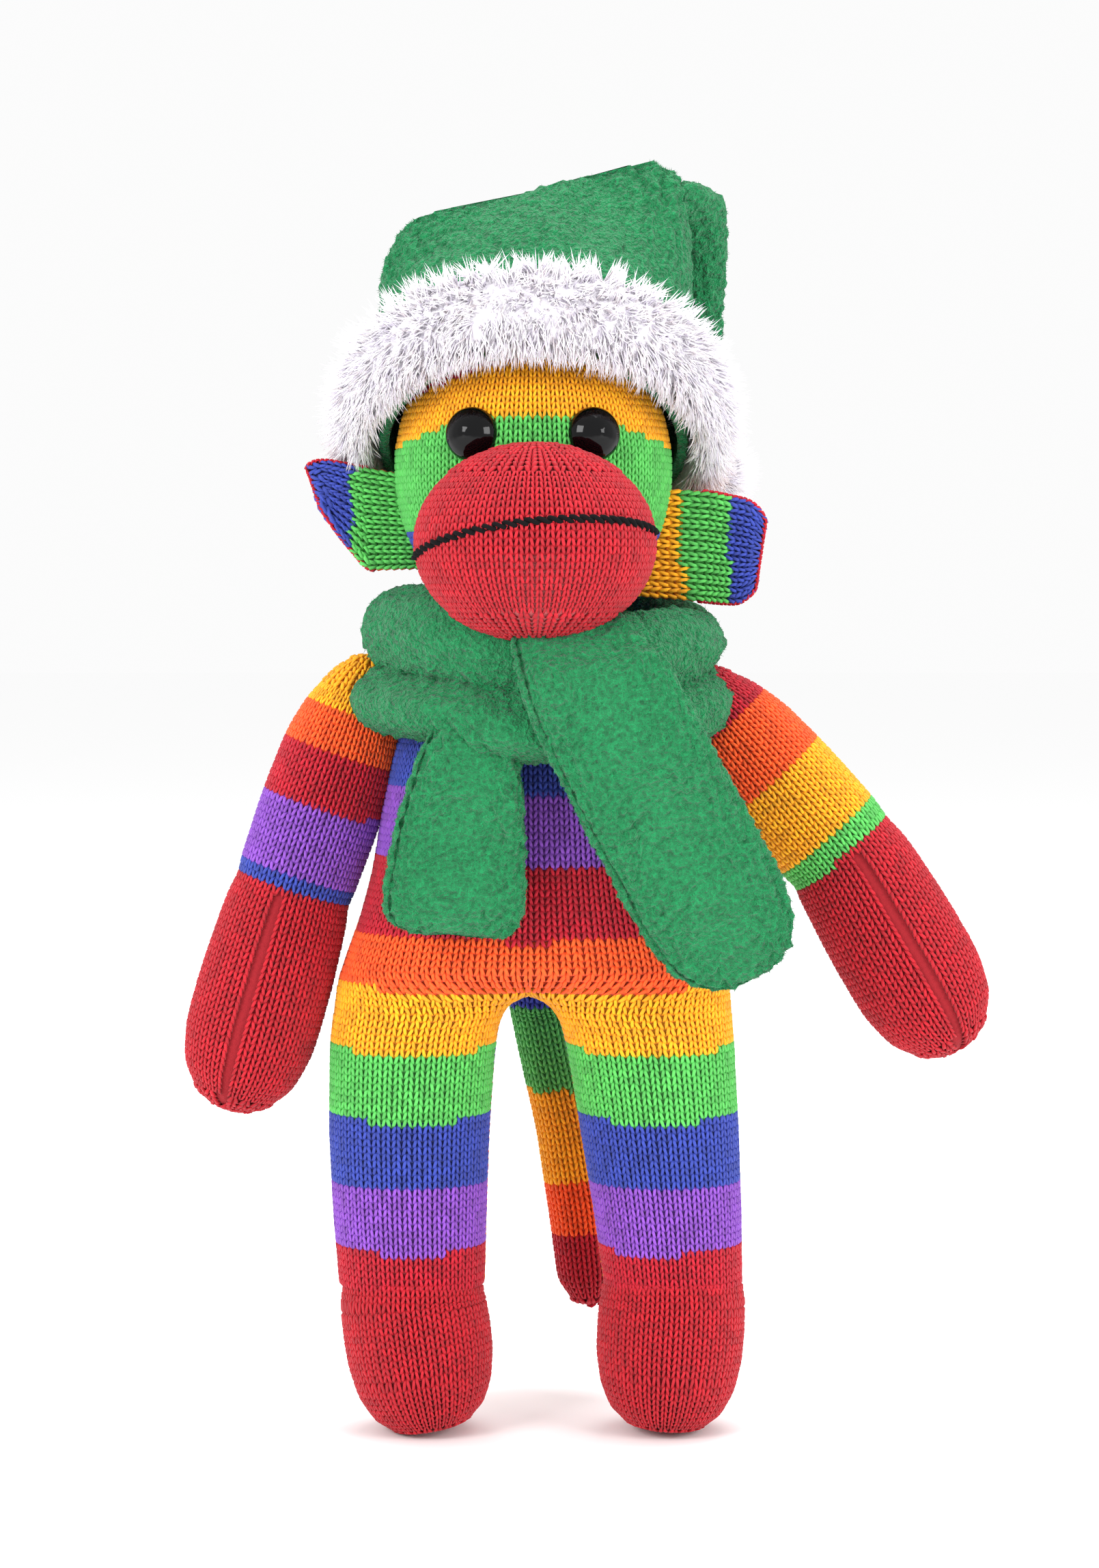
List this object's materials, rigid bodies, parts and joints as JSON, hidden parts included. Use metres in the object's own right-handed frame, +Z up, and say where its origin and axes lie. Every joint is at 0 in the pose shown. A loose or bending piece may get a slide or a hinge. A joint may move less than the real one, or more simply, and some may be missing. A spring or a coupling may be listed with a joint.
{
  "type": "stuffed knitted monkey",
  "caption": "Soft stuffed toy monkey sewn from rainbow-striped knit, with a ball muzzle, lift-off fleece hat with fur trim, wrapped fleece scarf and limbs that swing.",
  "frame": {"origin": "middle of the whole toy's outline, on the surface that the soles rest on", "axes": "+Z up, the face looks along -Y, the viewer's right is +X"},
  "size_m": [0.1642, 0.106, 0.2623],
  "materials": {
    "rainbow_knit": "matte",
    "red_knit": "matte",
    "green_fleece": "matte",
    "white_fur": "satin",
    "fibre_filling": "matte",
    "black_eye": "gloss",
    "white_washer": "matte",
    "black_yarn": "matte",
    "red_thread": "matte"
  },
  "bodies": {
    "torso": {"torso_front_panel": "rainbow_knit", "torso_back_panel": "rainbow_knit", "torso_stuffing": "fibre_filling", "neck_tie": "red_thread", "scarf_loop": "green_fleece"},
    "head": {"head_front_panel": "rainbow_knit", "head_back_panel": "rainbow_knit", "head_stuffing": "fibre_filling", "muzzle_skin": "red_knit", "muzzle_stuffing": "fibre_filling", "mouth_yarn": "black_yarn", "left_eye": "black_eye", "right_eye": "black_eye", "left_eye_washer": "white_washer", "right_eye_washer": "white_washer"},
    "hat": {"hat_front_panel": "green_fleece", "hat_back_panel": "green_fleece", "hat_fur_trim": "white_fur"},
    "hat_tip": {"hat_tip": "green_fleece", "pompom_fur": "white_fur", "pompom_core": "fibre_filling"},
    "tail": {"tail_skin": "rainbow_knit", "tail_tip_skin": "red_knit", "tail_stuffing": "fibre_filling"},
    "scarf_short_end": {"scarf_short_end": "green_fleece"},
    "scarf_long_end": {"scarf_long_end": "green_fleece"},
    "left_ear": {"left_ear_front": "rainbow_knit", "left_ear_back": "rainbow_knit", "left_ear_topstitch": "red_thread"},
    "left_arm": {"left_arm_sleeve": "rainbow_knit", "left_hand_skin": "red_knit", "left_arm_stuffing": "fibre_filling"},
    "left_leg": {"left_leg_front_panel": "rainbow_knit", "left_leg_back_panel": "rainbow_knit", "left_foot_skin": "red_knit", "left_leg_stuffing": "fibre_filling"},
    "right_ear": {"right_ear_front": "rainbow_knit", "right_ear_back": "rainbow_knit", "right_ear_topstitch": "red_thread"},
    "right_arm": {"right_arm_sleeve": "rainbow_knit", "right_hand_skin": "red_knit", "right_arm_stuffing": "fibre_filling"},
    "right_leg": {"right_leg_front_panel": "rainbow_knit", "right_leg_back_panel": "rainbow_knit", "right_foot_skin": "red_knit", "right_leg_stuffing": "fibre_filling"}
  },
  "joints": [
    {"name": "head_turn", "type": "hinge", "parent": "torso", "child": "head", "pos_m": [-0.01077, 0.0025, 0.165], "axis": [0, 0, 1], "range_deg": [-25, 25], "stiffness_Nm_per_rad": 0.03},
    {"name": "left_arm_raise", "type": "hinge", "parent": "torso", "child": "left_arm", "pos_m": [-0.04697, 0.0025, 0.1486], "axis": [0, 1, 0], "range_deg": [0, 70], "stiffness_Nm_per_rad": 0.02, "springref_deg": 2.52},
    {"name": "right_arm_raise", "type": "hinge", "parent": "torso", "child": "right_arm", "pos_m": [0.02563, 0.0025, 0.148], "axis": [0, -1, 0], "range_deg": [-12, 47], "stiffness_Nm_per_rad": 0.02, "springref_deg": 4.93},
    {"name": "left_leg_swing", "type": "hinge", "parent": "torso", "child": "left_leg", "pos_m": [-0.03597, 0.0025, 0.076], "axis": [-1, 0, 0], "range_deg": [-10, 90], "stiffness_Nm_per_rad": 0.15},
    {"name": "right_leg_swing", "type": "hinge", "parent": "torso", "child": "right_leg", "pos_m": [0.01243, 0.0025, 0.076], "axis": [-1, 0, 0], "range_deg": [-10, 90], "stiffness_Nm_per_rad": 0.15},
    {"name": "tail_lift", "type": "hinge", "parent": "torso", "child": "tail", "pos_m": [-0.00977, 0.0313, 0.092], "axis": [1, 0, 0], "range_deg": [0, 80], "stiffness_Nm_per_rad": 0.005},
    {"name": "hat_lift", "type": "slide", "parent": "head", "child": "hat", "axis": [0, 0.5736, 0.8192], "range_m": [0, 0.08]},
    {"name": "hat_tip_swing", "type": "hinge", "parent": "hat", "child": "hat_tip", "pos_m": [0.02173, 0.032, 0.2485], "axis": [1, 0, 0], "range_deg": [0, 110]},
    {"name": "left_ear_fold", "type": "hinge", "parent": "head", "child": "left_ear", "pos_m": [-0.04087, 0.0025, 0.1863], "axis": [-0.315, 0, 0.9491], "range_deg": [-15, 40], "stiffness_Nm_per_rad": 0.005},
    {"name": "right_ear_fold", "type": "hinge", "parent": "head", "child": "right_ear", "pos_m": [0.01743, 0.0025, 0.1813], "axis": [-0.4699, 0, -0.8827], "range_deg": [-15, 40], "stiffness_Nm_per_rad": 0.005},
    {"name": "scarf_short_lift", "type": "hinge", "parent": "torso", "child": "scarf_short_end", "pos_m": [-0.02677, -0.029, 0.1402], "axis": [-0.9986, -0.0036, 0.0522], "range_deg": [0, 80]},
    {"name": "scarf_long_lift", "type": "hinge", "parent": "torso", "child": "scarf_long_end", "pos_m": [-0.00027, -0.037, 0.1555], "axis": [-0.906, 0.066, -0.418], "range_deg": [0, 75]}
  ]
}
